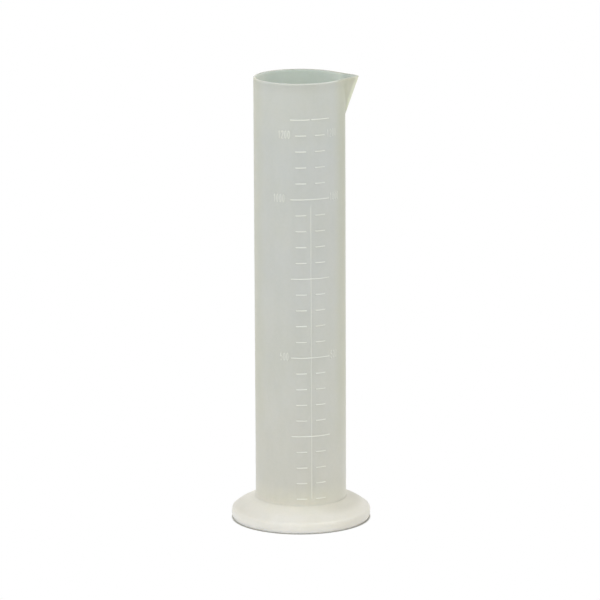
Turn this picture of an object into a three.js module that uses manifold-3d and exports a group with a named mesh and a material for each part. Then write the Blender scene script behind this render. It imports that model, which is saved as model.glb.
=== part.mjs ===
// A tall graduated measuring cylinder, moulded in one piece from milky polypropylene:
// a straight tube with a floor, a V-shaped pouring spout in its rim, a hollow round foot,
// and a raised scale on the outside of the tube.
// Millimetres, +Z up. The origin is on the tube's axis, on the plane that the foot stands on.
// The spout points along +X.

import * as THREE from "three";
import { mergeVertices } from "three/addons/utils/BufferGeometryUtils.js";
import Module from "manifold-3d";

const wasm = await Module();
wasm.setup();

// The scale's volumes, in millilitres
const capacity = 1250; // at the topmost mark
const markStep = 50; // from one mark to the next
const longMarkStep = 250; // from one long mark to the next
const lineTopVolume = 1000; // the upright line ends under this mark

// The tube
const boreRadius = 34.85; // at the floor
const boreDraft = 0.0006; // radius gained for each millimetre of height
const tubeWall = 2.15; // at the floor
const floorHeight = 11.1; // top of the floor above the ground
const floorThickness = 2.6;
const freeboard = 29; // from the topmost mark to the rim
const rimRound = 0.8; // rounding of both edges of the rim
const floorFillet = 2; // inside, between the bore and the floor
const bottomRound = 1.5; // outside, under the tube

// The foot
const footRadius = 56.8; // at its widest
const footWall = 2.6;
const edgeTuck = 2.4; // how far the foot's edge tucks in at the ground
const edgeWidestHeight = 5.6; // where the foot is widest
const edgeTopHeight = 9.4; // where the edge turns into the sloping top
const edgeTopInset = 1.4; // how far in that turn lies from the widest ring
const footTopHeight = 18.4; // where the sloping top meets the tube
const footCrown = 1.3; // how far the sloping top swells above a straight cone
const footFillet = 2; // between the sloping top and the tube

// The spout
const spoutReach = 11.15; // how far its tip stands out from the tube
const spoutHeight = 31.5; // from where the keel leaves the tube up to the rim
const spoutHalfAngle = THREE.MathUtils.degToRad(46.5); // of the V, seen from above
const spoutTipRadius = 4.5; // outside, at the rim

// The raised scale
const scaleAngle = THREE.MathUtils.degToRad(-81); // its middle, turned from the spout
const ridgeHeight = 0.45; // how far a ridge stands out from the tube
const ridgeWidth = 0.8;
const ridgeRoot = 0.8; // how deep a ridge is sunk into the wall
const shortMarkGap = 3.6; // from the scale's middle to a short mark's near end, along the tube
const shortMarkLength = 8.7;
const longMarkLength = 32.8; // across the whole scale
const topMarkGap = 1.2; // between the two halves of the topmost mark
const lineTopGap = 3.4; // from the upright line's top end up to its mark

// How finely the round shapes are divided
const columns = 64; // around the axis
const crowding = 0.45; // how far the columns draw together towards the spout, from 0 to 1
const spoutRows = 6;
const arcSteps = 3;
const degreesPerRidgeStep = 5;

const tubeRadius = boreRadius + tubeWall;

// Height above the floor at which the bore holds a volume given in millilitres.
function fillHeight(volume) {
  let height = 0;
  for (let pass = 0; pass < 6; pass++) {
    const gain = boreDraft * height;
    const meanSquare = boreRadius ** 2 + boreRadius * gain + gain ** 2 / 3;
    height = (volume * 1000) / (Math.PI * meanSquare);
  }
  return height;
}

const rimHeight = floorHeight + fillHeight(capacity) + freeboard;
const spoutFootHeight = rimHeight - spoutHeight;

// Radius of the bore at a height above the ground.
function boreRadiusAt(height) {
  return boreRadius + boreDraft * (height - floorHeight);
}

// Points of a quarter turn from one point to another, which leaves along the first point's
// given direction ("out" along the radius, "up" along the axis) and arrives along the other.
function quarterTurn(from, to, leaves, steps = arcSteps) {
  const points = [];
  for (let step = 0; step <= steps; step++) {
    const turn = (step / steps) * (Math.PI / 2);
    const early = Math.sin(turn);
    const late = 1 - Math.cos(turn);
    const along = leaves === "out" ? [early, late] : [late, early];
    points.push(
      new THREE.Vector2(
        from.x + (to.x - from.x) * along[0],
        from.y + (to.y - from.y) * along[1],
      ),
    );
  }
  return points;
}

// The foot's sloping top, from its edge up to the tube. drop lowers it by the wall for the
// hollow side, and share runs from 0 at the edge to 1 at the tube's surface.
function slopePoint(share, drop) {
  const start = new THREE.Vector2(footRadius - edgeTopInset, edgeTopHeight);
  const end = new THREE.Vector2(tubeRadius, footTopHeight);
  const along = end.clone().sub(start);
  const outward = new THREE.Vector2(along.y, -along.x).normalize();
  const swell = footCrown * 4 * share * (1 - share);
  return start.add(along.multiplyScalar(share)).add(outward.multiplyScalar(swell - drop));
}

// The outside of the foot, from the ground up to the tube.
function footOutside() {
  const ground = new THREE.Vector2(footRadius - edgeTuck, 0);
  const widest = new THREE.Vector2(footRadius, edgeWidestHeight);
  const slopeLength = Math.hypot(footRadius - edgeTopInset - tubeRadius, footTopHeight - edgeTopHeight);
  const filletShare = footFillet / slopeLength;
  const points = [
    ...quarterTurn(ground, widest, "out"),
    ...quarterTurn(widest, slopePoint(0, 0), "up").slice(1),
  ];
  for (const share of [0.25, 0.5, 0.75]) {
    points.push(slopePoint(share * (1 - filletShare), 0));
  }
  const fillet = new THREE.QuadraticBezierCurve(
    slopePoint(1 - filletShare, 0),
    new THREE.Vector2(tubeRadius, footTopHeight),
    new THREE.Vector2(tubeRadius, footTopHeight + footFillet),
  );
  points.push(...fillet.getPoints(arcSteps));
  return points;
}

// The hollow side of the foot, from the tube's bottom out and down to the ground.
function footInside() {
  const underside = floorHeight - floorThickness;
  const bottomEdge = tubeRadius - bottomRound;
  const ground = new THREE.Vector2(footRadius - edgeTuck - footWall, 0);
  const widest = new THREE.Vector2(footRadius - footWall, edgeWidestHeight);
  const points = quarterTurn(
    new THREE.Vector2(bottomEdge, underside),
    new THREE.Vector2(tubeRadius, underside + bottomRound),
    "out",
  );
  for (const share of [1, 0.75, 0.5, 0.25]) {
    const point = slopePoint(share, footWall);
    point.x = Math.max(point.x, tubeRadius);
    points.push(point);
  }
  points.push(...quarterTurn(widest, slopePoint(0.04, footWall), "up").reverse());
  points.push(...quarterTurn(ground, widest, "out").reverse().slice(1));
  return points;
}

// The rim with its two rounded edges, from the outside over to the bore.
function rimOver() {
  const inside = boreRadiusAt(rimHeight);
  const round = Math.min(rimRound, (tubeRadius - inside) / 2);
  return [
    ...quarterTurn(
      new THREE.Vector2(tubeRadius, rimHeight - round),
      new THREE.Vector2(tubeRadius - round, rimHeight),
      "up",
    ),
    ...quarterTurn(
      new THREE.Vector2(inside + round, rimHeight),
      new THREE.Vector2(inside, rimHeight - round),
      "out",
    ),
  ];
}

// Heights of the rows on a wall of the spout, from its foot up to under the rim's rounding.
function spoutHeights() {
  const heights = [];
  for (let row = 0; row < spoutRows; row++) {
    heights.push(spoutFootHeight + ((spoutHeight - rimRound) * row) / spoutRows);
  }
  return heights;
}

// The closed section of the whole moulding, from the axis under the floor, around the wall
// and back to the axis on top of the floor.
function bodyProfile() {
  const outside = spoutHeights().map((height) => new THREE.Vector2(tubeRadius, height));
  const inside = spoutHeights()
    .reverse()
    .map((height) => new THREE.Vector2(boreRadiusAt(height), height));
  return [
    new THREE.Vector2(0, floorHeight - floorThickness),
    ...footInside(),
    ...footOutside(),
    ...outside,
    ...rimOver(),
    ...inside,
    ...quarterTurn(
      new THREE.Vector2(boreRadiusAt(floorHeight + floorFillet), floorHeight + floorFillet),
      new THREE.Vector2(boreRadius - floorFillet, floorHeight),
      "up",
    ),
    new THREE.Vector2(0, floorHeight),
  ];
}

// Distance from the axis to the spout's wall in a direction given by its angle from the
// spout: a round tip, a straight flank, and past the flank's nearest point a curve that
// falls back into the tube. The V shrinks towards the keel's foot, and inset moves it in.
function spoutRadius(angle, height, inset) {
  const size = THREE.MathUtils.clamp((height - spoutFootHeight) / spoutHeight, 0, 1);
  const tipRadius = Math.max(size * spoutTipRadius - inset, spoutTipRadius / 20);
  const sine = Math.sin(spoutHalfAngle);
  const cosine = Math.cos(spoutHalfAngle);
  const cornerReach = spoutReach + spoutTipRadius * (1 / sine - 1);
  const corner = tubeRadius + size * cornerReach - inset / sine;
  const tipCentre = corner - tipRadius / sine;
  const turn = Math.abs(angle);
  if (turn < Math.atan2(tipRadius * cosine, tipCentre + tipRadius * sine)) {
    const across = tipCentre * Math.sin(turn);
    return tipCentre * Math.cos(turn) + Math.sqrt(tipRadius ** 2 - across ** 2);
  }
  const flank = corner * sine;
  const pastFlank = turn + spoutHalfAngle - Math.PI / 2;
  return pastFlank < 0 ? flank / Math.cos(pastFlank) : flank * Math.cos(Math.min(pastFlank, Math.PI / 2));
}

// Draws the columns together towards the spout, and pulls the wall out to the spout's V.
function pullSpout(geometry) {
  const position = geometry.attributes.position;
  for (let index = 0; index < position.count; index++) {
    const height = position.getZ(index);
    const radius = Math.hypot(position.getX(index), position.getY(index));
    const even = Math.atan2(position.getY(index), position.getX(index));
    const angle = even - crowding * Math.sin(even);
    let pulled = radius;
    if (height > spoutFootHeight) {
      pulled = Math.max(radius, spoutRadius(angle, height, tubeRadius - radius));
    }
    position.setXY(index, pulled * Math.cos(angle), pulled * Math.sin(angle));
  }
}

// A closed solid from a geometry whose faces point outwards.
function solidOf(geometry) {
  geometry.deleteAttribute("normal");
  geometry.deleteAttribute("uv");
  const merged = mergeVertices(geometry);
  return new wasm.Manifold(
    new wasm.Mesh({
      numProp: 3,
      vertProperties: new Float32Array(merged.attributes.position.array),
      triVerts: new Uint32Array(merged.index.array),
    }),
  );
}

// The geometry of a solid, for its mesh.
function geometryOf(solid) {
  const mesh = solid.getMesh();
  const geometry = new THREE.BufferGeometry();
  geometry.setAttribute("position", new THREE.BufferAttribute(mesh.vertProperties, 3));
  geometry.setIndex(new THREE.BufferAttribute(mesh.triVerts, 1));
  geometry.computeVertexNormals();
  return geometry;
}

// The tube, its floor, the foot and the spout as one turned wall.
function bodySolid() {
  const geometry = new THREE.LatheGeometry(bodyProfile(), columns);
  geometry.rotateX(Math.PI / 2);
  pullSpout(geometry);
  return solidOf(geometry);
}

// A ridge on the tube, between two distances along its surface from the scale's middle and
// two heights above the ground.
function ridgeSolid(from, to, bottom, top) {
  const start = scaleAngle + from / tubeRadius;
  const end = scaleAngle + to / tubeRadius;
  const steps = Math.ceil(THREE.MathUtils.radToDeg(end - start) / degreesPerRidgeStep);
  const outline = new THREE.Shape();
  outline.absarc(0, 0, tubeRadius + ridgeHeight, start, end, false);
  outline.absarc(0, 0, tubeRadius - Math.min(ridgeRoot, tubeWall / 2), end, start, true);
  const geometry = new THREE.ExtrudeGeometry(outline, {
    depth: top - bottom,
    bevelEnabled: false,
    curveSegments: steps,
  });
  geometry.translate(0, 0, bottom);
  return solidOf(geometry);
}

// The ridges of one mark: a long mark runs right across, a short one stands in two pieces
// beside the upright line, and the topmost mark is a long one with a small gap.
function markSolids(volume) {
  const bottom = floorHeight + fillHeight(volume) - ridgeWidth / 2;
  const top = bottom + ridgeWidth;
  const reach = longMarkLength / 2;
  const shortEnd = shortMarkGap + shortMarkLength;
  if (volume + markStep > capacity) {
    return [
      ridgeSolid(-reach, -topMarkGap / 2, bottom, top),
      ridgeSolid(topMarkGap / 2, reach, bottom, top),
    ];
  }
  if (volume % longMarkStep === 0) {
    return [ridgeSolid(-reach, reach, bottom, top)];
  }
  return [
    ridgeSolid(-shortEnd, -shortMarkGap, bottom, top),
    ridgeSolid(shortMarkGap, shortEnd, bottom, top),
  ];
}

// The whole raised scale: its marks, and the upright line through its lower part.
function scaleSolid() {
  const lineBottom = floorHeight + fillHeight(markStep);
  const lineTop = floorHeight + fillHeight(lineTopVolume) - lineTopGap;
  const ridges = [ridgeSolid(-ridgeWidth / 2, ridgeWidth / 2, lineBottom, lineTop)];
  for (let volume = markStep; volume <= capacity; volume += markStep) {
    ridges.push(...markSolids(volume));
  }
  return ridges.reduce((joined, ridge) => joined.add(ridge));
}

// Milky, slightly warm translucent plastic
const polypropylene = new THREE.MeshStandardMaterial({
  color: 0xd2d3c8,
  roughness: 0.42,
  metalness: 0,
});

const cylinder = new THREE.Mesh(geometryOf(bodySolid().add(scaleSolid())), polypropylene);
cylinder.name = "graduated_cylinder";

const measuringCylinder = new THREE.Group();
measuringCylinder.add(cylinder);

export default measuringCylinder;
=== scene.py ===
import math

import bpy
import numpy as np
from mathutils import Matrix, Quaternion, Vector


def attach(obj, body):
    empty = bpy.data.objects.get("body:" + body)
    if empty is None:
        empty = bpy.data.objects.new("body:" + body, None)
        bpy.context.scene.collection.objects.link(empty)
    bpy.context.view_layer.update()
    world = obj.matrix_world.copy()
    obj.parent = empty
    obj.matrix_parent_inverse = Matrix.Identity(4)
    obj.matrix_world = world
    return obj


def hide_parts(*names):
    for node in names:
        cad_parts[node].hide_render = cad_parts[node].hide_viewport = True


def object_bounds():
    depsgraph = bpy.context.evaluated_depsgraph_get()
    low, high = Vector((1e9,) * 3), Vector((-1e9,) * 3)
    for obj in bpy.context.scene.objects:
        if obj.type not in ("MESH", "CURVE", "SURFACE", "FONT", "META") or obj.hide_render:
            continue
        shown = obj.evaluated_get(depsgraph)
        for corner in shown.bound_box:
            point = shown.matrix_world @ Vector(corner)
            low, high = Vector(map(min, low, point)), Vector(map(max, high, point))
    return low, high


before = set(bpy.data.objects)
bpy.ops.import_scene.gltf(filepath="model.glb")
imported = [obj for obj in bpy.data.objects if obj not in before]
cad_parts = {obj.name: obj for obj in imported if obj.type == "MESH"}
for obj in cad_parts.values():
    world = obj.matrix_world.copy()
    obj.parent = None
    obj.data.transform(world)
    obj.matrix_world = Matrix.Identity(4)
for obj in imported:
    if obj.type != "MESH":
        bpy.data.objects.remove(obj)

cadLow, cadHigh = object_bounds()
mm = 0.001
scene = bpy.context.scene


def srgb(red, green, blue):  # linear from 0-255: ((c / 255 + 0.055) / 1.055) to the power 2.4
    parts = np.array([red, green, blue]) / 255.0
    linear = np.where(parts > 0.04045, ((parts + 0.055) / 1.055) ** 2.4, parts / 12.92)
    return (*[float(part) for part in linear], 1.0)


class Value:  # an output socket; the operators add Math nodes
    def __init__(self, graph, socket):
        self.graph = graph
        self.socket = socket

    def math(self, operation, *others):
        values = dict(enumerate([self, *others]))
        return self.graph.node("ShaderNodeMath", {"operation": operation}, values)

    def __add__(self, other):
        return self.math("ADD", other)

    def __radd__(self, other):
        return self.math("ADD", other)

    def __sub__(self, other):
        return self.math("SUBTRACT", other)

    def __rsub__(self, other):
        return self.graph.node("ShaderNodeMath", {"operation": "SUBTRACT"}, {0: other, 1: self})

    def __mul__(self, other):
        return self.math("MULTIPLY", other)

    def __rmul__(self, other):
        return self.math("MULTIPLY", other)

    def ease(self, start, end):  # 0 before start, 1 after end, and a smooth step between them
        settings = {"interpolation_type": "SMOOTHSTEP"}
        values = {"Value": self, "From Min": start, "From Max": end}
        return self.graph.node("ShaderNodeMapRange", settings, values)

    def over(self, band):  # the same between two places in millimetres
        return self.ease(band[0] * mm, band[1] * mm)

    def away(self, centre):  # the distance from a place in millimetres
        return (self - centre * mm).math("ABSOLUTE")


class Graph:  # the node tree of a material or of the world
    def __init__(self, owner):
        owner.use_nodes = True
        self.tree = owner.node_tree
        self.tree.nodes.clear()

    def node(self, kind, settings, values, output=0):
        made = self.tree.nodes.new(kind)
        for name, setting in settings.items():
            if name == "stops":
                ramp = made.color_ramp
                while len(ramp.elements) < len(setting):
                    ramp.elements.new(0.5)
                for element, (position, colour) in zip(ramp.elements, setting):
                    element.position = position
                    element.color = colour
            else:
                setattr(made, name, setting)
        for name, value in values.items():
            if isinstance(value, Value):
                self.tree.links.new(value.socket, made.inputs[name])
            else:
                made.inputs[name].default_value = value
        return Value(self, made.outputs[output]) if len(made.outputs) else made

    def mixed(self, share, first, second, blend="MIX"):  # first where share is 0, second where 1
        settings = {"data_type": "RGBA", "blend_type": blend}
        return self.node("ShaderNodeMix", settings, {0: share, 6: first, 7: second}, 2)

    def noise(self, vector, pattern):  # a pattern holds its scale, detail and roughness
        return self.node("ShaderNodeTexNoise", {}, {"Vector": vector, **pattern})

    def axes(self, vector):  # its x, y and z
        split = self.node("ShaderNodeSeparateXYZ", {}, {0: vector}).socket.node
        return [Value(self, socket) for socket in split.outputs]

    def attribute(self, name):
        return self.node("ShaderNodeAttribute", {"attribute_name": name}, {}, "Fac")

    def seen(self):  # 1 where the camera looks straight at it, or by way of gloss or glass
        paths = self.node("ShaderNodeLightPath", {}, {}).socket.node
        rays = ["Is Camera Ray", "Is Glossy Ray", "Is Transmission Ray"]
        camera, glossy, through = [Value(self, paths.outputs[name]) for name in rays]
        return camera.math("MAXIMUM", glossy).math("MAXIMUM", through)


body = {  # millimetres, as in the solid
    "boreRadius": 34.85,  # at the floor
    "boreDraft": 0.0006,  # how much the radius grows for each millimetre up
    "tubeRadius": 37.0,
    "floorHeight": 11.1,
    "floorThickness": 2.6,
    "rimRound": 0.8,
    "floorFillet": 2.0,
    "bottomRound": 1.5,
    "footWall": 2.6,
    "edgeTuck": 2.4,  # how far the foot's ring on the ground lies in from its widest place
    "edgeWidest": 5.6,
    "edgeTop": 9.4,
    "edgeInset": 1.4,
    "footTop": 18.4,  # where the foot's slope would meet the tube
    "footCrown": 1.3,
    "footFillet": 1.3,
    "rimHeight": cadHigh.z / mm,
    "footRadius": cadHigh.x / mm,
}

spout = {  # millimetres
    "reach": 11.15,
    "height": 31.5,
    "halfAngle": math.radians(46.5),
    "tipRadius": 4.5,
    "tipLeast": 0.225,  # its radius at the spout's foot
    "flankReach": math.pi / 3,  # how far around the flank's straight line is followed
    "blend": 1.2,  # how softly the flanks run into the tube
}

scale = {  # millimetres; across is measured along the tube from the scale's middle
    "angle": math.radians(-81),
    "capacity": 1250,
    "step": 50,
    "longStep": 250,
    "ridgeHeight": 0.45,
    "lineHeight": 0.22,
    "ridgeWidth": 0.8,
    "edgeSoftness": 0.12,
    "shortFrom": 3.6,
    "shortTo": 12.3,
    "longTo": 16.4,
    "topGap": 0.6,
    "lineTopVolume": 1000,
    "lineTopGap": 3.4,
    "figureHeight": 6.6,
    "figureWidth": 2.0,
    "figurePitch": 2.65,
    "figureStroke": 0.58,
    "figureSoftness": 0.16,
    "figureRise": 0.34,
    "figureDrop": 2.4,  # how far a figure reaches under its mark
    "figures": {  # where each one starts, to the left and to the right of the middle
        500: (19.4, 18.4),
        1000: (22.2, 18.0),
        1200: (17.6, 15.2),
    },
}

grid = {  # how close the mesh's rows and columns stand: millimetres, or degrees for an angle
    "arcSteps": 7,
    "smallArcSteps": 4,
    "slopePoints": 9,
    "underRadii": (0, 12, 24),
    "floorRadii": (22, 11, 0),
    "hollowShares": (1, 0.8, 0.6, 0.4, 0.2),  # along the slope over the hollow foot
    "hollowTopShare": 0.04,
    "markRows": (-0.8, -0.52, -0.28, 0.28, 0.52, 0.8),  # from the middle of a mark
    "figureMargin": 0.7,
    "figureStep": 0.33,
    "figureRowGap": 0.17,
    "levelGap": 0.05,
    "tubeStep": 6,
    "spoutStep": 1.8,
    "boreStep": 32,
    "boreSpoutStep": 2,
    "endColumns": (-0.45, -0.15, 0.15, 0.45),  # from the end of a mark
    "lineColumns": (-1.4, -1.1, -0.75, -0.52, -0.28, 0, 0.28, 0.52, 0.75, 1.1, 1.4),
    "figureFrom": 13.2,  # the columns are fine from here, on both sides of the scale
    "figureTo": 32.0,  # to here
    "columnGap": 0.1,
    "scaleStep": 1.7,
    "tipAngle": 7,
    "tipAngleStep": 0.7,
    "spoutAngle": 38,
    "spoutAngleStep": 1.5,
    "spoutAngleGap": 0.6,
    "angleGap": 0.3,
    "angleStep": 3.4,
    "wallMargin": 0.01,  # what lies this near a wall is on it
    "boreMargin": 0.1,
}


# a quarter of an ellipse: start + (end - start) * (sin t, 1 - cos t), or the two swapped
def quarterTurn(start, end, leaves, steps=grid["arcSteps"]):
    turn = np.linspace(0, math.pi / 2, steps + 1)
    early, late = np.sin(turn), 1 - np.cos(turn)
    along = (early, late) if leaves == "out" else (late, early)
    return np.column_stack([start[axis] + (end[axis] - start[axis]) * along[axis]
                            for axis in (0, 1)])


# the foot's top: a line to the tube plus outward * (4 * crown * s * (1 - s) - drop)
def slope(share, drop):
    share = np.asarray(share, float)[:, None]
    start = np.array([body["footRadius"] - body["edgeInset"], body["edgeTop"]])
    along = np.array([body["tubeRadius"], body["footTop"]]) - start
    outward = np.array([along[1], -along[0]]) / np.hypot(*along)
    return start + along * share + outward * (body["footCrown"] * 4 * share * (1 - share) - drop)


# millilitres as cubic millimetres / (pi * mean squared radius), found again with the height that
# comes out, because the bore is slightly wider above
def fillHeight(volume):
    height = 0
    for _ in range(6):
        gain = body["boreDraft"] * height
        squared = body["boreRadius"] ** 2 + body["boreRadius"] * gain + gain ** 2 / 3
        height = volume * 1000 / (math.pi * squared)
    return height


def markHeight(volume):  # the floor's height + the height that the volume fills
    return body["floorHeight"] + fillHeight(volume)


def figureBottom(volume):  # the mark's height - the figures' drop
    return markHeight(volume) - scale["figureDrop"]


def boreAt(height):  # the bore's radius: radius at the floor + draft * height over the floor
    return body["boreRadius"] + body["boreDraft"] * (height - body["floorHeight"])


def joined(kept, extra, nearest):  # kept, and what of extra lies at least nearest away from it
    kept, extra = np.asarray(kept, float), np.asarray(extra, float)
    away = np.abs(extra[:, None] - kept[None, :]).min(axis=1)
    return np.sort(np.concatenate([kept, extra[away >= nearest]]))


# the same values, and start + (end - start) * k / n wherever two lie further apart than widest
def filled(values, widest):
    parts = np.ceil(np.diff(values) / widest - 1e-6).astype(int)
    starts = np.repeat(values[:-1], parts)
    steps = np.repeat(np.diff(values) / parts, parts)
    order = np.concatenate([np.arange(count) for count in parts])
    return np.append(starts + steps * order, values[-1])


# rows of the tube's outside: each mark's height + its offsets, even ones over the figures, and
# wide ones between
def outerHeights():
    bottom = body["footTop"] + body["footFillet"]
    top = body["rimHeight"] - body["rimRound"]
    spoutFoot = body["rimHeight"] - spout["height"]
    volumes = np.arange(scale["step"], scale["capacity"] + 1, scale["step"])
    marks = np.array([markHeight(volume) for volume in volumes])
    rows = (marks[:, None] + np.array(grid["markRows"])).ravel()
    for volume in scale["figures"]:
        low = figureBottom(volume) - grid["figureMargin"]
        high = low + scale["figureHeight"] + 2 * grid["figureMargin"]
        rows = joined(rows, np.arange(low, high, grid["figureStep"]), grid["figureRowGap"])
    rows = joined(rows, [bottom, spoutFoot, top], grid["levelGap"])
    rows = rows[(rows >= bottom) & (rows <= top)]
    lower = filled(rows[rows <= spoutFoot], grid["tubeStep"])
    upper = filled(rows[rows >= spoutFoot], grid["spoutStep"])
    return np.concatenate([lower, upper[1:]])


def level(radii, height):  # points at one height
    return [[radius, height] for radius in radii]


# radius and height once around the wall: from the axis under the floor out through the hollow
# foot, over the foot and up the tube, across the rim and down the bore to the axis on the floor
def bodyProfile():
    tube, rim = body["tubeRadius"], body["rimHeight"]
    small = grid["smallArcSteps"]

    underside = body["floorHeight"] - body["floorThickness"]
    hollowSlope = slope(grid["hollowShares"], body["footWall"])
    hollowSlope[:, 0] = np.maximum(hollowSlope[:, 0], tube)
    hollowTop = slope([grid["hollowTopShare"]], body["footWall"])[0]
    hollowWidest = np.array([body["footRadius"] - body["footWall"], body["edgeWidest"]])
    hollowGround = np.array([body["footRadius"] - body["edgeTuck"] - body["footWall"], 0])

    ground = np.array([body["footRadius"] - body["edgeTuck"], 0])
    widest = np.array([body["footRadius"], body["edgeWidest"]])
    slopeOut = body["footRadius"] - body["edgeInset"] - tube
    filletShare = body["footFillet"] / np.hypot(slopeOut, body["footTop"] - body["edgeTop"])
    bend = np.linspace(0, 1, grid["slopePoints"])[:, None]
    filletStart = slope([1 - filletShare], 0)
    filletMiddle = np.array([tube, body["footTop"]])
    filletEnd = np.array([tube, body["footTop"] + body["footFillet"]])
    fillet = (1 - bend) ** 2 * filletStart + 2 * bend * (1 - bend) * filletMiddle \
        + bend ** 2 * filletEnd
    slopeShares = np.linspace(0, 1 - filletShare, grid["slopePoints"])[1:-1]

    outer = outerHeights()
    inside = boreAt(rim)
    roundOff = min(body["rimRound"], (tube - inside) / 2)
    bottom = body["floorHeight"] + body["floorFillet"]
    spoutFoot = rim - spout["height"]
    lowBore = filled(np.array([bottom, spoutFoot]), grid["boreStep"])
    highBore = filled(np.array([spoutFoot, rim - roundOff]), grid["boreSpoutStep"])
    bore = np.concatenate([lowBore, highBore[1:]])[::-1]

    bottomStart = [tube - body["bottomRound"], underside]
    bottomEnd = [tube, underside + body["bottomRound"]]
    floorStart = [boreAt(bottom), bottom]
    floorEnd = [body["boreRadius"] - body["floorFillet"], body["floorHeight"]]
    return np.concatenate([
        level(grid["underRadii"], underside),
        quarterTurn(bottomStart, bottomEnd, "out", small),
        hollowSlope,
        quarterTurn(hollowWidest, hollowTop, "up", small)[::-1],
        quarterTurn(hollowGround, hollowWidest, "out", small)[::-1][1:],
        quarterTurn(ground, widest, "out"),
        quarterTurn(widest, slope([0], 0)[0], "up")[1:],
        slope(slopeShares, 0),
        fillet,
        np.column_stack([np.full(len(outer), tube), outer])[1:-1],
        quarterTurn([tube, rim - roundOff], [tube - roundOff, rim], "up"),
        quarterTurn([inside + roundOff, rim], [inside, rim - roundOff], "out"),
        np.column_stack([boreAt(bore), bore])[1:-1],
        quarterTurn(floorStart, floorEnd, "up"),
        level(grid["floorRadii"], body["floorHeight"]),
    ])


# angles around the axis from the spout: the scale's angle + distance across / the tube's radius,
# and even steps, close at the scale and the spout
def columnAngles():
    edges = [-scale["shortTo"], -scale["shortFrom"], scale["shortFrom"], scale["shortTo"]]
    ends = (np.array(edges)[:, None] + np.array(grid["endColumns"])).ravel()
    near = np.arange(grid["figureFrom"], grid["figureTo"], grid["figureStep"])
    across = joined(ends, grid["lineColumns"], grid["columnGap"])
    across = joined(across, np.concatenate([-near, near]), grid["columnGap"])
    across = filled(across, grid["scaleStep"])
    scaleAngles = scale["angle"] + across / body["tubeRadius"]

    def fan(reach, step):  # even angles from -reach to reach
        return np.radians(np.arange(-reach, reach + 0.01, step))

    tip = fan(grid["tipAngle"], grid["tipAngleStep"])
    flanks = fan(grid["spoutAngle"], grid["spoutAngleStep"])
    spoutAngles = joined(tip, flanks, math.radians(grid["spoutAngleGap"]))
    around = joined(scaleAngles, spoutAngles, math.radians(grid["angleGap"]))
    whole = np.append(around, around[0] + 2 * math.pi)
    return filled(whole, math.radians(grid["angleStep"]))[:-1]


# radius of the spout's wall at an angle t off its keel: on the round tip, c * cos t +
# sqrt(tip squared - (c * sin t) squared); on the flank, flank / cos(t + half angle - 90 degrees);
# and past the flank's nearest place, flank * that cosine, which falls back into the tube
def spoutWall(angle, height, inset):
    foot = body["rimHeight"] - spout["height"]
    size = np.clip((height - foot) / spout["height"], 0, 1)
    tip = np.maximum(size * spout["tipRadius"] - inset, spout["tipLeast"])
    sine, cosine = math.sin(spout["halfAngle"]), math.cos(spout["halfAngle"])
    reach = spout["reach"] + spout["tipRadius"] * (1 / sine - 1)
    corner = body["tubeRadius"] + size * reach - inset / sine
    centre = corner - tip / sine
    turn = np.abs((angle + math.pi) % (2 * math.pi) - math.pi)
    across = centre * np.sin(turn)
    rounded = centre * np.cos(turn) + np.sqrt(np.maximum(tip ** 2 - across ** 2, 0))
    past = turn + spout["halfAngle"] - math.pi / 2
    flank = corner * sine
    straight = flank / np.cos(np.clip(past, -spout["flankReach"], 0))
    falling = flank * np.cos(np.clip(past, 0, math.pi / 2))
    onTip = turn < np.arctan2(tip * cosine, centre + tip * sine)
    pulled = np.where(onTip, rounded, np.where(past < 0, straight, falling))
    return pulled, size


# 3 * t squared - 2 * t cubed, with t = (softness - distance) / (2 * softness) kept in 0 to 1
def rise(distance, softness):
    inside = np.clip((softness - distance) / (2 * softness), 0, 1)
    return inside * inside * (3 - 2 * inside)


# to the edge of an upright or level bar: the length of (x, y) past its half width and half
# height, and the larger of the two where both are negative, inside
def barDistance(across, height, start, end, low, high):
    sideways = np.abs(across - (start + end) / 2) - (end - start) / 2
    upright = np.abs(height - (low + high) / 2) - (high - low) / 2
    outside = np.hypot(np.maximum(sideways, 0), np.maximum(upright, 0))
    return outside + np.minimum(np.maximum(sideways, upright), 0)


def arc(centre, radii, first, last, steps=9):  # centre + radii * (cos t, sin t), t in degrees
    turn = np.radians(np.linspace(first, last, steps))
    x = centre[0] + radii[0] * np.cos(turn)
    y = centre[1] + radii[1] * np.sin(turn)
    return np.column_stack([x, y])


figureStrokes = {  # of the figures in use: across from -0.5 to 0.5, up from 0 to 1
    "0": [arc((0, 0.5), (0.5, 0.5), 0, 360, 17)],
    "1": [np.array([[-0.3, 0.76], [0.08, 1], [0.08, 0]])],
    "2": [np.concatenate([arc((0, 0.71), (0.5, 0.29), 165, -35), [[-0.5, 0], [0.5, 0]]])],
    "5": [np.concatenate([[[0.42, 1], [-0.36, 1], [-0.42, 0.54]],
                          arc((0, 0.33), (0.5, 0.33), 125, -150, 12)])],
}


# to the nearest of a line's pieces, each from a along d: |p - a - clip((p - a).d / d.d) * d|
def strokeDistance(across, height, points):
    start, along = points[:-1], np.diff(points, axis=0)
    offX = across[..., None] - start[:, 0]
    offY = height[..., None] - start[:, 1]
    length = (along ** 2).sum(axis=1)
    share = np.clip((offX * along[:, 0] + offY * along[:, 1]) / length, 0, 1)
    return np.hypot(offX - share * along[:, 0], offY - share * along[:, 1]).min(axis=-1)


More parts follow.
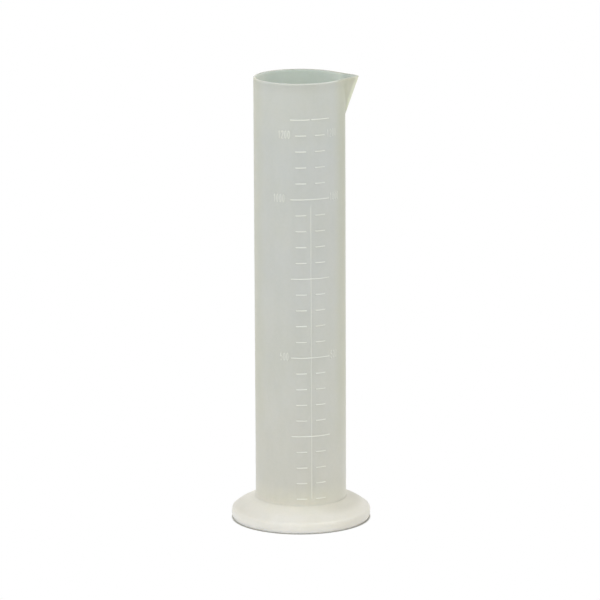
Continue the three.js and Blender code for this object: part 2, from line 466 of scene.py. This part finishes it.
# raises the figures beside their marks, on both sides: their rise * rise(distance to a stroke -
# half its width), where that is higher than the field
def figureField(across, height, field):
    stroke, pitch = scale["figureStroke"], scale["figurePitch"]
    size = np.array([scale["figureWidth"] - stroke, scale["figureHeight"] - stroke])
    for volume, places in scale["figures"].items():
        text = str(volume)
        low = figureBottom(volume) + stroke / 2
        rows = np.nonzero(np.abs(height[:, 0] - low - size[1] / 2) < size[1])[0]
        for side, near in zip((-1, 1), places):
            middle = near + pitch * (len(text) - 1) / 2
            for place, figure in enumerate(text):
                centre = side * middle + (place - (len(text) - 1) / 2) * pitch
                columns = np.nonzero(np.abs(across[0] - centre) < pitch)[0]
                window = np.ix_(rows, columns)
                for points in figureStrokes[figure]:
                    placed = points * size + np.array([centre, low])
                    distance = strokeDistance(across[window], height[window], placed) - stroke / 2
                    raised = scale["figureRise"] * rise(distance, scale["figureSoftness"])
                    field[window] = np.maximum(field[window], raised)


# how far the scale stands out of the tube: the ridge's height * rise(distance to the nearest
# mark), or the same for the line between the marks, whichever is higher
def scaleField(across, height):
    half = scale["ridgeWidth"] / 2
    lineTop = markHeight(scale["lineTopVolume"]) - scale["lineTopGap"]
    line = barDistance(across, height, -half, half, markHeight(scale["step"]), lineTop)
    field = np.full(across.shape, np.inf)
    for volume in range(scale["step"], scale["capacity"] + 1, scale["step"]):
        mark = markHeight(volume)
        if volume == scale["capacity"]:
            bars = [(-scale["longTo"], -scale["topGap"]), (scale["topGap"], scale["longTo"])]
        elif volume % scale["longStep"] == 0:
            bars = [(-scale["longTo"], scale["longTo"])]
        else:
            bars = [(-scale["shortTo"], -scale["shortFrom"]),
                    (scale["shortFrom"], scale["shortTo"])]
        for start, end in bars:
            bar = barDistance(across, height, start, end, mark - half, mark + half)
            field = np.minimum(field, bar)
    field = scale["ridgeHeight"] * rise(field, scale["edgeSoftness"])
    field = np.maximum(field, scale["lineHeight"] * rise(line, scale["edgeSoftness"]))
    figureField(across, height, field)
    return field


# (r cos a, r sin a, z) for every row of the profile and every column angle; where the spout is,
# r is the softer of the larger: (r + p + sqrt((r - p) squared + softness squared)) / 2
def bodyMesh():
    profile, angles = bodyProfile(), columnAngles()
    rings = profile[1:-1]
    radius = np.repeat(rings[:, :1], len(angles), axis=1)
    height = np.repeat(rings[:, 1:], len(angles), axis=1)
    angle = np.repeat(angles[None, :], len(rings), axis=0)
    pulled, size = spoutWall(angle, height, body["tubeRadius"] - radius)
    softness = spout["blend"] * size
    blended = (radius + pulled + np.sqrt((radius - pulled) ** 2 + softness ** 2)) / 2
    above = height > body["rimHeight"] - spout["height"]
    radius = np.where(above, blended, radius)

    away = (angle - scale["angle"] + math.pi) % (2 * math.pi) - math.pi
    raised = scaleField(away * body["tubeRadius"], height)
    onTube = np.abs(rings[:, 0] - body["tubeRadius"]) < grid["wallMargin"]
    overFoot = rings[:, 1] > body["footTop"] + body["footFillet"]
    raised = raised * (onTube & overFoot)[:, None]
    radius = radius + raised
    points = np.stack([radius * np.cos(angle), radius * np.sin(angle), height], axis=-1)
    poles = [[0, 0, profile[0, 1]], [0, 0, profile[-1, 1]]]
    points = np.concatenate([points.reshape(-1, 3), poles]) * mm

    rowCount, columnCount = len(rings), len(angles)
    here = np.arange(columnCount)
    after = (here + 1) % columnCount
    row = (np.arange(rowCount - 1) * columnCount)[:, None]
    nextRow = row + columnCount
    quads = np.stack([row + here, row + after, nextRow + after, nextRow + here], axis=-1)
    lastRow, pole = (rowCount - 1) * columnCount, rowCount * columnCount
    under = np.column_stack([np.full(columnCount, pole), after, here])
    floor = np.column_stack([np.full(columnCount, pole + 1), lastRow + here, lastRow + after])
    faces = quads.reshape(-1, 4).tolist() + under.tolist() + floor.tolist()
    inBore = rings[:, 0] < boreAt(rings[:, 1]) + grid["boreMargin"]
    inside = inBore & (rings[:, 1] > body["floorHeight"] - grid["boreMargin"])
    inside = np.append(np.repeat(inside[:, None], columnCount, axis=1).ravel(), [False, True])
    raised = np.append(raised.ravel(), [0, 0]) / scale["ridgeHeight"]
    print("cylinder:", rowCount, "rows and", columnCount, "columns,", len(faces), "faces")
    return points, faces, raised, inside


points, faces, raised, inside = bodyMesh()
mesh = bpy.data.meshes.new("cylinderBody")
mesh.from_pydata(points, [], faces)
for name, values in {"raised": raised, "inside": inside}.items():
    attribute = mesh.attributes.new(name, "FLOAT", "POINT")
    attribute.data.foreach_set("value", values.astype(np.float32))
mesh.shade_smooth()
cylinder = bpy.data.objects.new("cylinderBody", mesh)
scene.collection.objects.link(cylinder)
print("cylinder body made")


# the tints' bands are in millimetres, from where a tint starts or fades to where it is full or
# gone: across to the spout's side, along to the back, and up
plastic = {
    "heights": [  # share of the height, and the colour there: the foot paler than the tube, partly its own tone and partly painted light from the floor below; the lowest stops near white, painted light against the shade under the foot's edge; the tube a little darker towards the top
        (0.0, srgb(246, 243, 237)),
        (0.018, srgb(236, 233, 226)),
        (0.036, srgb(234, 231, 224)),
        (0.049, srgb(232, 229, 219)),
        (0.056, srgb(220, 217, 206)),
        (0.066, srgb(218, 216, 205)),
        (0.10, srgb(211, 210, 202)),
        (0.35, srgb(207, 208, 202)),
        (0.65, srgb(203, 205, 202)),
        (1.0, srgb(199, 202, 200)),
    ],
    "drift": {  # wide warm patches
        "tint": srgb(206, 204, 186), "share": 0.18, "range": (0.35, 0.75),
        "noise": {"Scale": 14.0, "Detail": 3.0, "Roughness": 0.5},
    },
    "middle": {  # painted shade down the middle of the tube's outside, where one looks straight through both walls
        "tint": (0.955, 0.955, 0.96, 1.0),
        "centre": 3, "across": (4, 26), "up": (22, 36),
    },
    "side": {  # painted shade, warmer towards the tube's sides, where one looks through more of the wall
        "tint": srgb(200, 200, 180), "share": 0.62, "lessInside": 0.8,
        "centre": -2.5, "across": (26, 38), "up": (24, 120),
    },
    "edge": {  # painted shade on the spout's side of the tube, near the top, but not on the spout's flanks
        "tint": srgb(184, 187, 172), "share": 0.6,
        "across": (27, 37), "up": (60, 330),
        "flanksAcross": (36, 39), "flanksUp": (338, 350), "gone": (359, 364),
    },
    "foot": {  # painted shade on the sides of the foot's edge
        "tint": srgb(208, 204, 193), "share": 0.6,
        "awaySide": (24, 56), "awayUp": (5, 12),
        "spoutSide": (8, 44), "spoutShare": 0.62, "gone": (14, 22),
    },
    "shade": {  # painted shadow of the tube on the foot's slope, on the spout's side
        "tint": srgb(180, 176, 162), "share": 0.46,
        "across": (6, 38), "up": (11.5, 16.5), "gone": (17, 20.5),
    },
    "keel": {  # painted highlight where light gathers along the spout's keel; behind is measured from the keel's line
        "tint": srgb(226, 229, 212), "share": 0.7,
        "behind": (-4.2, -1.2), "across": (36.4, 39.4), "footSoftness": 3,
    },
    "rimShade": {  # painted shade on the rim, on the spout's side and at the back
        "tint": srgb(168, 170, 163), "share": 0.6,
        "across": (26, 31), "along": (4, 16), "softness": 0.5,
    },
    "rimBandShade": {  # painted shade over the last millimetres under the rim, on the outside
        "tint": (0.93, 0.93, 0.925, 1.0), "up": (356, 365),
    },
    # painted light: the inside greener and a little lighter than the outside
    "inside": {"tint": (0.99, 1.045, 1.02, 1.0)},
    "deep": {  # painted light further down inside and near the sides, where the walls light each other
        "tint": (1.09, 1.07, 1.08, 1.0), "up": (346, 367), "across": (14, 32),
    },
    "spoutShade": {"tint": (0.90, 0.90, 0.92, 1.0), "across": (33.5, 38.5)},  # painted shade inside the spout
    "corner": {"tint": (1.12, 1.10, 1.10, 1.0), "across": (16, 32)},  # painted light inside, opposite the spout
    "cloud": {  # drawn out along the tube
        "tint": (0.955, 0.965, 0.955, 1.0), "stretch": (1, 1, 0.35),
        "range": (0.3, 0.7), "share": 0.6,
        "noise": {"Scale": 75.0, "Detail": 5.0, "Roughness": 0.6},
    },
    "mottle": {  # fine, in the clouds' tint
        "range": (0.35, 0.65), "share": 0.4,
        "noise": {"Scale": 420.0, "Detail": 3.0, "Roughness": 0.6},
    },
    "raised": {  # painted highlight: the scale catches the light, and less so towards the spout
        "tint": srgb(238, 240, 231), "share": 0.62, "lost": 0.3, "across": (2, 12),
    },
    "grain": {"Scale": 900.0, "Detail": 2.0, "Roughness": 0.6},
    "swirl": {"Scale": 60.0, "Detail": 4.0, "Roughness": 0.55},
    "swirlHeight": 2,  # times the grain's
    "bumpStrength": 0.25,
    "bumpDepth": 0.06,  # millimetres
    "roughness": 0.42,
    "roughnessChange": 0.06,
    "ior": 1.49,
    "specular": 0.22,
    "scatter": 1.0,
    "scatterReach": 4.0,  # millimetres
    "scatterColours": (1.0, 0.95, 0.85),
}

material = bpy.data.materials.new("milkyPolypropylene")
graph = Graph(material)
place = graph.node("ShaderNodeTexCoord", {}, {}, "Object")
across, along, up = graph.axes(place)
inner = graph.attribute("inside")
outer = 1 - inner
heightShare = up.math("DIVIDE", body["rimHeight"] * mm)
base = graph.node("ShaderNodeValToRGB", {"stops": plastic["heights"]}, {0: heightShare})

drift = plastic["drift"]
mask = graph.noise(place, drift["noise"]).ease(*drift["range"])
base = graph.mixed(mask * drift["share"], base, drift["tint"])

middle = plastic["middle"]
mask = (1 - across.away(middle["centre"]).over(middle["across"])) * outer
base = graph.mixed(mask * up.over(middle["up"]), base, middle["tint"], "MULTIPLY")

side = plastic["side"]
mask = across.away(side["centre"]).over(side["across"]) * up.over(side["up"])
mask = mask * (1 - inner * side["lessInside"])
base = graph.mixed(mask * side["share"], base, side["tint"])

edge = plastic["edge"]
mask = across.over(edge["across"]) * up.over(edge["up"]) * outer
mask = mask * (1 - up.over(edge["flanksUp"]) * across.over(edge["flanksAcross"]))
mask = mask * (1 - up.over(edge["gone"]))
base = graph.mixed(mask * edge["share"], base, edge["tint"])

foot = plastic["foot"]
mask = (0 - across).over(foot["awaySide"]) * up.over(foot["awayUp"])
mask = mask + across.over(foot["spoutSide"]) * foot["spoutShare"]
mask = mask * (1 - up.over(foot["gone"]))
base = graph.mixed(mask * foot["share"], base, foot["tint"])

shade = plastic["shade"]
mask = across.over(shade["across"]) * up.over(shade["up"]) * (1 - up.over(shade["gone"]))
base = graph.mixed(mask * shade["share"], base, shade["tint"])

keel = plastic["keel"]
spoutFoot = body["rimHeight"] - spout["height"]
keelLine = (up - spoutFoot * mm) * (spout["reach"] / spout["height"])
behindKeel = across - body["tubeRadius"] * mm - keelLine
mask = behindKeel.over(keel["behind"]) * across.over(keel["across"]) * outer
mask = mask * up.over((spoutFoot - keel["footSoftness"], spoutFoot + keel["footSoftness"]))
base = graph.mixed(mask * keel["share"], base, keel["tint"])

rimShade = plastic["rimShade"]
rimStart = body["rimHeight"] - body["rimRound"]
mask = across.over(rimShade["across"]).math("MAXIMUM", along.over(rimShade["along"]))
mask = mask * up.over((rimStart, rimStart + rimShade["softness"]))
base = graph.mixed(mask * rimShade["share"], base, rimShade["tint"])

rimBandShade = plastic["rimBandShade"]
base = graph.mixed(up.over(rimBandShade["up"]) * outer, base, rimBandShade["tint"], "MULTIPLY")
base = graph.mixed(inner, base, plastic["inside"]["tint"], "MULTIPLY")

deep, spoutShade, corner = plastic["deep"], plastic["spoutShade"], plastic["corner"]
inChannel = across.over(spoutShade["across"])
nearSides = across.math("ABSOLUTE").over(deep["across"]) * (1 - inChannel)
mask = inner * (1 - up.over(deep["up"])).math("MAXIMUM", nearSides)
base = graph.mixed(mask, base, deep["tint"], "MULTIPLY")
base = graph.mixed(inner * inChannel, base, spoutShade["tint"], "MULTIPLY")
mask = inner * (0 - across).over(corner["across"])
base = graph.mixed(mask, base, corner["tint"], "MULTIPLY")

cloud, mottle = plastic["cloud"], plastic["mottle"]
stretch = {"Vector": place, "Scale": cloud["stretch"]}
stretched = graph.node("ShaderNodeMapping", {"vector_type": "POINT"}, stretch)
mask = graph.noise(stretched, cloud["noise"]).ease(*cloud["range"]) * cloud["share"]
mask = mask + graph.noise(place, mottle["noise"]).ease(*mottle["range"]) * mottle["share"]
base = graph.mixed(mask, base, cloud["tint"], "MULTIPLY")

ridges = plastic["raised"]
mask = graph.attribute("raised") * (1 - across.over(ridges["across"]) * ridges["lost"])
base = graph.mixed(mask * ridges["share"], base, ridges["tint"])

grain = graph.noise(place, plastic["grain"])
swirl = graph.noise(place, plastic["swirl"])
roughness = plastic["roughness"] + (swirl - 0.5) * plastic["roughnessChange"]
bump = graph.node("ShaderNodeBump", {}, {
    "Strength": plastic["bumpStrength"],
    "Distance": plastic["bumpDepth"] * mm,
    "Height": grain + swirl * plastic["swirlHeight"],
})
surface = graph.node("ShaderNodeBsdfPrincipled", {}, {
    "Base Color": base,
    "Roughness": roughness,
    "Normal": bump,
    "IOR": plastic["ior"],
    "Specular IOR Level": plastic["specular"],
    "Subsurface Weight": plastic["scatter"],
    "Subsurface Radius": plastic["scatterColours"],
    "Subsurface Scale": plastic["scatterReach"] * mm,
})
graph.node("ShaderNodeOutputMaterial", {}, {"Surface": surface})
cylinder.data.materials.append(material)

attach(cylinder, "root")
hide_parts("graduated_cylinder")
print("plastic made")


stage = {
    "floorSize": 9.0,  # metres
    "floorColour": srgb(235, 235, 235),
    "shadowColour": srgb(180, 180, 174),  # right at the foot
    "shadowBand": (-0.8, 0.9),  # millimetres outside the foot, over which its shadow fades
    "white": (1.0, 1.0, 1.0, 1.0),
    "whiteStrength": 1.0,
    "worldLight": 0.63,
    "worldColour": (1.0, 0.995, 0.97, 1.0),
}

floorMesh = bpy.data.meshes.new("floor")
half = stage["floorSize"] / 2
corners = [(-half, -half, 0), (half, -half, 0), (half, half, 0), (-half, half, 0)]
floorMesh.from_pydata(corners, [], [(0, 1, 2, 3)])
floor = bpy.data.objects.new("floor", floorMesh)
scene.collection.objects.link(floor)

# white to look at, with a narrow shadow around the foot, painted darker over its real one, and a
# pale grey floor for the light
floorMaterial = bpy.data.materials.new("paperWhite")
graph = Graph(floorMaterial)
place = graph.node("ShaderNodeTexCoord", {}, {}, "Object")
distance = graph.node("ShaderNodeVectorMath", {"operation": "LENGTH"}, {0: place}, "Value")
fade = distance.over([body["footRadius"] + outside for outside in stage["shadowBand"]])
seen = graph.seen()
plain = graph.node("ShaderNodeBsdfDiffuse", {}, {"Color": stage["floorColour"]})
shadow = graph.node("ShaderNodeBsdfDiffuse", {}, {"Color": stage["shadowColour"]})
glow = {"Color": stage["white"], "Strength": stage["whiteStrength"]}
white = graph.node("ShaderNodeEmission", {}, glow)
mixed = graph.node("ShaderNodeMixShader", {}, {0: seen * (1 - fade), 1: plain, 2: shadow})
mixed = graph.node("ShaderNodeMixShader", {}, {0: seen * fade, 1: mixed, 2: white})
graph.node("ShaderNodeOutputMaterial", {}, {"Surface": mixed})
floorMesh.materials.append(floorMaterial)

world = bpy.data.worlds.new("studio")
scene.world = world
graph = Graph(world)
sky = {"Color": stage["worldColour"], "Strength": stage["worldLight"]}
light = graph.node("ShaderNodeBackground", {}, sky)
white = graph.node("ShaderNodeBackground", {}, glow)
mixed = graph.node("ShaderNodeMixShader", {}, {0: graph.seen(), 1: light, 2: white})
graph.node("ShaderNodeOutputWorld", {}, {"Surface": mixed})

lampAim = Vector((0, 0, 0.18))  # metres
lamps = {  # place in metres, width, power in watts
    "key": {"at": (-1.4, -1.55, 1.5), "width": 1.2, "power": 21, "colour": (0.975, 0.985, 1.0)},
    "fill": {"at": (1.6, -1.35, 0.95), "width": 1.2, "power": 12, "colour": (1.0, 1.0, 0.99)},
    "back": {"at": (0.3, 1.6, 1.5), "width": 1.2, "power": 9, "colour": (1.0, 1.0, 0.98)},
}
for name, lamp in lamps.items():
    light = bpy.data.lights.new(name, "AREA")
    light.shape = "DISK"
    light.size = lamp["width"]
    light.energy = lamp["power"]
    light.color = lamp["colour"]
    holder = bpy.data.objects.new(name, light)
    holder.location = lamp["at"]
    holder.rotation_mode = "QUATERNION"
    holder.rotation_quaternion = (lampAim - Vector(lamp["at"])).to_track_quat("-Z", "Y")
    scene.collection.objects.link(holder)

view = {
    "azimuth": math.radians(-4.5),
    "elevation": math.radians(12.61),
    "roll": math.radians(-0.24),
    "distance": 3.655,  # metres
    "target": (-0.00016, 0, 0.18175),
    "lens": 270,
    "sensor": 36,
    "farEnd": 50,
}
cameraData = bpy.data.cameras.new("camera")
cameraData.sensor_width = view["sensor"]
cameraData.lens = view["lens"]
cameraData.clip_end = view["farEnd"]
cameraObject = bpy.data.objects.new("camera", cameraData)
back = Vector((math.sin(view["azimuth"]) * math.cos(view["elevation"]),
               -math.cos(view["azimuth"]) * math.cos(view["elevation"]),
               math.sin(view["elevation"])))
roll = Quaternion((0, 0, 1), view["roll"])
cameraObject.location = Vector(view["target"]) + back * view["distance"]
cameraObject.rotation_mode = "QUATERNION"
cameraObject.rotation_quaternion = (-back).to_track_quat("-Z", "Y") @ roll
scene.collection.objects.link(cameraObject)
scene.camera = cameraObject
scene.view_settings.view_transform = "Standard"
print("studio made")
